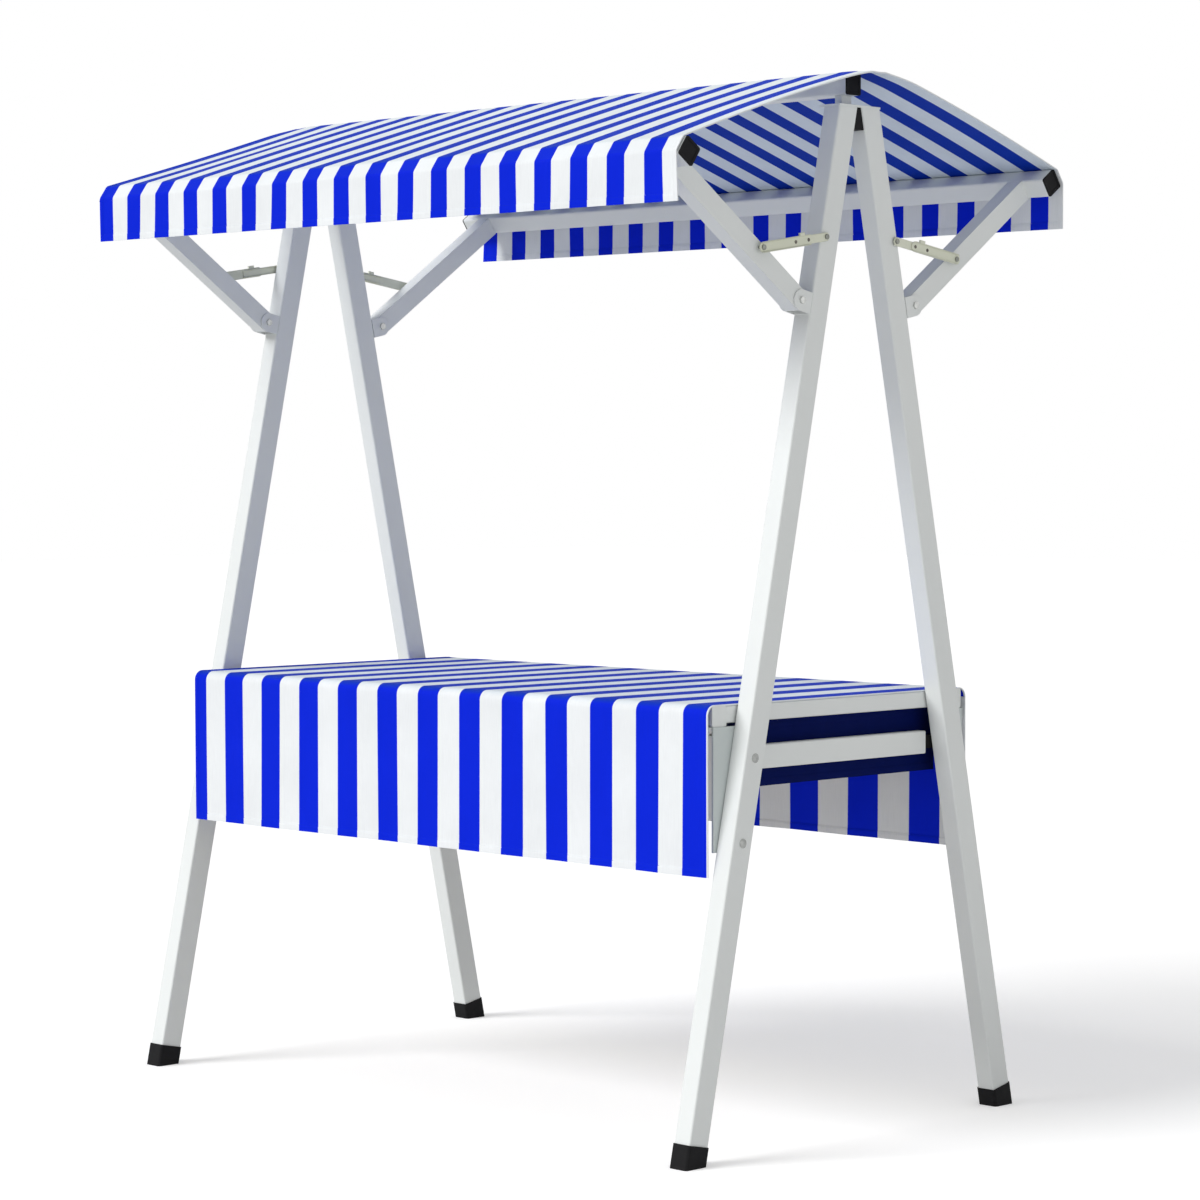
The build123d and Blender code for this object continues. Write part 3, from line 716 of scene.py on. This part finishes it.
def canopy_points(side, bent, along, section, across):
    """The canopy's grid: its bent line carried across, lifted, drooping, waving and shifted."""
    bent_at = lengths_along(np.array(bent))
    lift = slope_lift(along, across, bent_at)
    slope = bent[ARC_STEPS + 1] - bent[ARC_STEPS]
    steep = math.atan2(-slope[1], slope[0])
    outward = section[:, :1] + lift * math.sin(steep) + valance_swing(side, along, across, bent_at)
    up = section[:, 1:] + lift * math.cos(steep) - ridge_droop(section, across)
    settled = np.clip(section[:, :1] / REAR_SHIFT_RUN, 0, 1)
    shift = REAR_SHIFT if side == "rear" else 0.0
    x = across[None, :] + shift * settled**2 * (3 - 2 * settled)
    return grid(x, SIDES[side] * outward, up)


def canopy(side):
    """One half of the canopy and its stitching."""
    bent = canopy_section(side)
    length = lengths_along(np.array(bent))[-1]
    along, section = places_along(bent, [length - HEM_WIDTH])
    across = places_across(-CANOPY_HALF, CANOPY_HALF)
    points = canopy_points(side, bent, along, section, across)
    stripes = np.clip(across + CANOPY_HALF, CLOTH, CANOPY_WIDTH - CLOTH)
    uvs = np.stack(np.broadcast_arrays(stripes[None, :], along[:, None]), axis=2)
    thickness = hemmed(along, across, first_hem=False)
    sheet = cloth_piece(f"{side}_canopy_sheet", points, thickness, uvs, "canopy_cloth")
    rows = [nearest(along, length - HEM_SEWN_SHARE * HEM_WIDTH)]
    name = f"{side}_canopy_stitching"
    sewing = stitching(name, points, thickness, uvs, rows, hem_columns(across), "canopy_cloth")
    for piece in (sheet, sewing):
        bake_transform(piece)
    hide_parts(f"{side}_canopy", f"{side}_valance")


for side in SIDES:
    canopy(side)


# Tablecloth: one sheet over the table with a drop on each long side, the rear drop sewn on

def tablecloth_section():
    """The tablecloth's bent line, front to rear, and the distance from its middle to its folds."""
    drop_low, drop_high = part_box("tablecloth_rear")
    reach = (drop_low.y + drop_high.y) / 2
    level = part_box("rear_table_rail")[1].z + TABLE_GAP + CLOTH / 2
    edge = ((reach - TABLE_FOLD, level - TABLE_FOLD), TABLE_FOLD)
    rear = taut_line((0.0, level), [edge], drop_low.z)
    front = [np.array((-y, z)) for y, z in rear[:0:-1]]
    return front + rear, lengths_along(np.array(rear))[-2]


def tablecloth_points(along, section, across, folds):
    """The tablecloth's grid: flat on the table, with a little wave in its drops."""
    half = along[-1] / 2
    hang = np.clip((np.abs(along - half) - folds) / (half - folds), 0, 1) ** DROP_HANG_POWER
    curl = DROP_CURL * (np.abs(across) / across[-1]) ** DROP_CURL_POWER
    front_waves = ripple(across, DROP_WAVES)[None, :]
    rear_waves = ripple(across + REAR_WAVE_SHIFT, DROP_WAVES)[None, :]
    waves = np.where((along < half)[:, None], front_waves, rear_waves)
    swing = hang[:, None] * (waves - curl[None, :])
    outward = section[:, :1] + np.sign(section[:, :1]) * swing
    return grid(across[None, :], outward, section[:, 1:])


def tablecloth():
    """The tablecloth and its stitching."""
    low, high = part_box("tablecloth_top")
    bent, folds = tablecloth_section()
    length = lengths_along(np.array(bent))[-1]
    seam = length / 2 + folds
    along, section = places_along(bent, [HEM_WIDTH, seam, length - HEM_WIDTH])
    across = places_across(low.x, high.x)
    points = tablecloth_points(along, section, across, folds)
    rear_stripes = (across - REAR_STRIPE_START) * TABLE_PITCH / REAR_PITCH
    # The white strip at the right end is a painted highlight of the lit cloth edge.
    main_stripes = high.x - EDGE_HIGHLIGHT_STRIP - across
    stripes = np.where((along > seam)[:, None], rear_stripes[None, :], main_stripes[None, :])
    uvs = np.stack(np.broadcast_arrays(stripes, along[:, None]), axis=2)
    thickness = hemmed(along, across, first_hem=True)
    sheet = cloth_piece("tablecloth", points, thickness, uvs, "table_cloth")
    hem_inset = HEM_SEWN_SHARE * HEM_WIDTH
    sewn_at = (hem_inset, seam - SEAM_SEWN_SHARE * HEM_WIDTH, length - hem_inset)
    rows = [nearest(along, place) for place in sewn_at]
    columns = hem_columns(across)
    sewing = stitching("tablecloth_stitching", points, thickness, uvs, rows, columns, "table_cloth")
    for piece in (sheet, sewing):
        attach(piece, "frame")
    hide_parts("tablecloth_top", "tablecloth_front", "tablecloth_rear")


tablecloth()


# End curtains: short cloths under the table's end rails, their dark navy a sheet of painted shade under the table

def end_curtain(end):
    """One end curtain, with a little wave towards its hem."""
    low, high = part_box(f"{end}_end_curtain")
    drop = high.z - low.z
    across = places_across(low.y, high.y)
    fall = with_pairs(np.linspace(0, drop, round(drop / GRID) + 1), (HEM_WIDTH, drop - HEM_WIDTH))
    hang = (fall / drop) ** CURTAIN_HANG_POWER
    wave = hang[:, None] * ripple(across, CURTAIN_WAVES)[None, :]
    points = grid((low.x + high.x) / 2 + ENDS[end] * wave, across[None, :], (high.z - fall)[:, None])
    uvs = np.stack(np.broadcast_arrays((across - low.y)[None, :], fall[:, None]), axis=2)
    thickness = hemmed(fall, across, first_hem=True)
    sheet = cloth_piece(f"{end}_end_curtain_painted_shade", points, thickness, uvs, "curtain_cloth")
    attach(sheet, "frame")
    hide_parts(f"{end}_end_curtain")


for end in ENDS:
    end_curtain(end)


# Fasteners

def lathe(profile, facets):
    """A closed solid of revolution about Z, from radii and heights, bottom first."""
    vertices = []
    for radius, height in profile:
        for k in range(facets):
            angle = 2 * math.pi * k / facets
            vertices.append((radius * math.cos(angle), radius * math.sin(angle), height))
    return vertices, tube_faces(len(profile), facets)


def placed(part, at, towards):
    """A part moved so that its Z axis points another way."""
    turn = Vector(towards).to_track_quat("Z", "Y").to_matrix().to_4x4()
    matrix = Matrix.Translation(at) @ turn
    return [matrix @ Vector(v) for v in part[0]], part[1]


def dome(radius, rise, base=0.0):
    """Profile of a low domed head on a base."""
    turns = [math.pi / 2 * i / DOME_STEPS for i in range(DOME_STEPS)]
    crown = [(radius * math.cos(t), base + rise * math.sin(t)) for t in turns]
    return crown + [(radius * DOME_FLAT_SHARE, base + rise)]


def bevelled(radius, top_radius, low, side, top):
    """Profile of a bar with a bevel round its top: its radii, and the heights where it turns."""
    return [(radius, low), (radius, side), (top_radius, top)]


washer = lathe(bevelled(WASHER_RADIUS, WASHER_TOP_RADIUS, 0.0, WASHER_SIDE, WASHER_THICK), WASHER_FACETS)
hexagon = lathe(bevelled(NUT_RADIUS, NUT_TOP_RADIUS, WASHER_THICK, NUT_SIDE, NUT_TOP), NUT_FACETS)
shank = lathe(bevelled(SHANK_RADIUS, SHANK_TOP_RADIUS, WASHER_THICK, SHANK_SIDE, SHANK_TOP), SHANK_FACETS)
bolt_head = join([washer, lathe(dome(BOLT_RADIUS, BOLT_RISE, WASHER_THICK), BOLT_FACETS)])
bolt_tail = lathe(dome(BOLT_RADIUS, BOLT_TAIL_RISE), BOLT_FACETS)
nut = join([washer, hexagon, shank])
rivet = lathe(dome(RIVET_RADIUS, RIVET_RISE), RIVET_FACETS)


def leg_axis_y(node, level):
    """Depth of a leg's axis at a height."""
    points = np.array([v.co for v in frame["nodes"][node].data.vertices])
    low, high = points[:, 2].min(), points[:, 2].max()
    foot = points[np.abs(points[:, 2] - low) < LEVEL_TOLERANCE, 1].mean()
    top = points[np.abs(points[:, 2] - high) < LEVEL_TOLERANCE, 1].mean()
    return foot + (top - foot) * (level - low) / (high - low)


def leg_bolts():
    """Domed bolts through each front leg: one into the crossbar's lug, one into the hanger's foot."""
    parts = []
    for end, sign in ENDS.items():
        leg = f"front_{end}_leg"
        leg_low, leg_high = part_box(leg)
        bar_low, bar_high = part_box(f"{end}_crossbar")
        outside, inside = (leg_high.x, leg_low.x) if sign > 0 else (leg_low.x, leg_high.x)
        lug = bar_low.x if sign > 0 else bar_high.x
        plate = inside - sign * HANGER_PLATE
        for level, tail, back in ((CROSSBAR_BOLT, bolt_tail, lug), (HANGER_BOLT, nut, plate)):
            y = leg_axis_y(leg, level)
            parts.append(placed(bolt_head, (outside, y, level), (sign, 0, 0)))
            parts.append(placed(tail, (back, y, level), (-sign, 0, 0)))
    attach(add_piece("leg_bolts", join(parts), dull_bolt), "frame")


leg_bolts()


def stay_rivets(side, end):
    """Rivets at the elbow and at the stop on a stay's outer link."""
    stud_leg = np.array(joints[f"{side}_{end}_stay_inner_turn"]["pos_m"])[1:]
    stud_arm = np.array(joints[f"{side}_{end}_stay_outer_turn"]["pos_m"])[1:]
    sign = ENDS[end]
    low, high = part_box(f"{side}_{end}_stay_outer_link")
    web = (low.x if sign > 0 else high.x) + sign * STAY_SHEET
    run = (stud_leg - stud_arm) / np.linalg.norm(stud_leg - stud_arm)
    elbow = (stud_leg + stud_arm) / 2
    places = (elbow, elbow + run * STOP_RIVET)
    parts = [placed(rivet, (web, *place), (sign, 0, 0)) for place in places]
    piece = add_piece(f"{side}_{end}_stay_rivets", join(parts), dark_rivet)
    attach(piece, f"{side}_{end}_stay_outer")


for side in SIDES:
    for end in ENDS:
        stay_rivets(side, end)


# Welds

def bead(start, stop):
    """A rippled weld bead along a straight line."""
    points = subdivided([np.array(start), np.array(stop)], WELD_PITCH / 2)
    run = (points[-1] - points[0]) / np.linalg.norm(points[-1] - points[0])
    first = np.cross(run, (1.0, 0.0, 0.0) if abs(run[0]) < LEVEL_RUN else (0.0, 0.0, 1.0))
    first /= np.linalg.norm(first)
    second = np.cross(run, first)
    vertices = []
    for i, point in enumerate(points):
        radius = WELD_RADIUS + WELD_RIPPLE * (1 if i % 2 else -1)
        if i in (0, len(points) - 1):
            radius *= WELD_END_SHARE
        for k in range(WELD_FACETS):
            angle = 2 * math.pi * k / WELD_FACETS
            vertices.append(point + radius * (math.cos(angle) * first + math.sin(angle) * second))
    return vertices, tube_faces(len(points), WELD_FACETS)


def arm_welds(side):
    """Beads where each arm meets the eave bar."""
    middle, rise = wing(side)

    def corner(x, up):
        """A point on the eave bar's inner face, up or down the face from its middle."""
        y = middle[0] - EAVE_HALF * math.cos(rise) - up * math.sin(rise)
        z = middle[1] - EAVE_HALF * math.sin(rise) + up * math.cos(rise)
        return x, SIDES[side] * y, z

    half = ARM_DEPTH / 2 - TUBE_CORNER
    beads = []
    for end in ENDS:
        low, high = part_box(f"{side}_{end}_arm")
        ring = [corner(low.x, -half), corner(low.x, half), corner(high.x, half), corner(high.x, -half)]
        beads += [bead(a, b) for a, b in zip(ring, ring[1:] + ring[:1])]
    piece = add_piece(f"{side}_arm_welds", join(beads), weld_paint)
    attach(piece, f"{side}_awning")


for side in SIDES:
    arm_welds(side)


# Floor, light and camera

def seen_directly(tree):
    """A share that is 1 for rays from the camera, and for what glossy and clear surfaces see."""
    path = tree.nodes.new("ShaderNodeLightPath").outputs
    seen = calc(tree, "MAXIMUM", path["Is Camera Ray"], path["Is Glossy Ray"])
    return calc(tree, "MAXIMUM", seen, path["Is Transmission Ray"])


def sky():
    """An even sky, white where it is seen."""
    world = bpy.data.worlds.new("sky")
    bpy.context.scene.world = world
    world.use_nodes = True
    tree = world.node_tree
    background = tree.nodes["Background"]
    background.inputs["Color"].default_value = rgb(1.0, 1.0, 1.0)
    strength = spread(tree, seen_directly(tree), (0.0, 1.0), (SKY_STRENGTH, 1.0))
    plug(tree, background.inputs["Strength"], strength)


def pale_floor():
    """A pale floor that keeps the stall's shadow."""
    half = FLOOR_SIZE / 2
    mesh = bpy.data.meshes.new("floor")
    corners = [(-half, -half, 0), (half, -half, 0), (half, half, 0), (-half, half, 0)]
    mesh.from_pydata(corners, [], [(0, 1, 2, 3)])
    floor = bpy.data.objects.new("floor", mesh)
    bpy.context.scene.collection.objects.link(floor)
    material, tree, skin, _ = new_material("pale_floor")
    skin.inputs["Base Color"].default_value = rgb(FLOOR_GREY, FLOOR_GREY, FLOOR_GREY)
    skin.inputs["Roughness"].default_value = FLOOR_ROUGHNESS
    skin.inputs["Specular IOR Level"].default_value = 0.0
    skin.inputs["Emission Color"].default_value = rgb(1.0, 1.0, 1.0)
    lift = calc(tree, "MULTIPLY", seen_directly(tree), FLOOR_LIFT)
    plug(tree, skin.inputs["Emission Strength"], lift)
    mesh.materials.append(material)


def add_lamp(name, kind, strength, towards, place=(0.0, 0.0, 0.0)):
    """A lamp that shines along a direction."""
    lamp = bpy.data.lights.new(name, kind)
    lamp.energy = strength
    holder = bpy.data.objects.new(name, lamp)
    holder.location = place
    holder.rotation_mode = "QUATERNION"
    holder.rotation_quaternion = Vector(towards).to_track_quat("-Z", "Y")
    bpy.context.scene.collection.objects.link(holder)
    return lamp


def lamps():
    """A broad lamp from the front left and a weak one beside the right end."""
    key = add_lamp("key", "SUN", KEY_STRENGTH, -Vector(KEY_FROM))
    key.angle = math.radians(KEY_ANGLE)
    fill = add_lamp("fill", "AREA", FILL_POWER, Vector(FILL_AT) - Vector(FILL_PLACE), FILL_PLACE)
    fill.size = FILL_SIZE


def photo_camera():
    """The camera that was fitted to the photograph."""
    lens = bpy.data.cameras.new("camera")
    lens.lens = CAMERA_LENS
    lens.sensor_width = SENSOR
    lens.clip_end = CLIP_END
    camera = bpy.data.objects.new("camera", lens)
    azimuth, pitch = math.radians(CAMERA_AZIMUTH), math.radians(CAMERA_PITCH)
    level = Vector((-math.sin(azimuth), math.cos(azimuth), 0.0))
    ahead = level * math.cos(pitch) - Vector((0.0, 0.0, math.sin(pitch)))
    camera.location = CAMERA_PLACE
    camera.rotation_mode = "QUATERNION"
    camera.rotation_quaternion = ahead.to_track_quat("-Z", "Y")
    bpy.context.scene.collection.objects.link(camera)
    bpy.context.scene.camera = camera


sky()
pale_floor()
lamps()
photo_camera()
bpy.context.scene.view_settings.view_transform = "Standard"

bpy.context.view_layer.update()
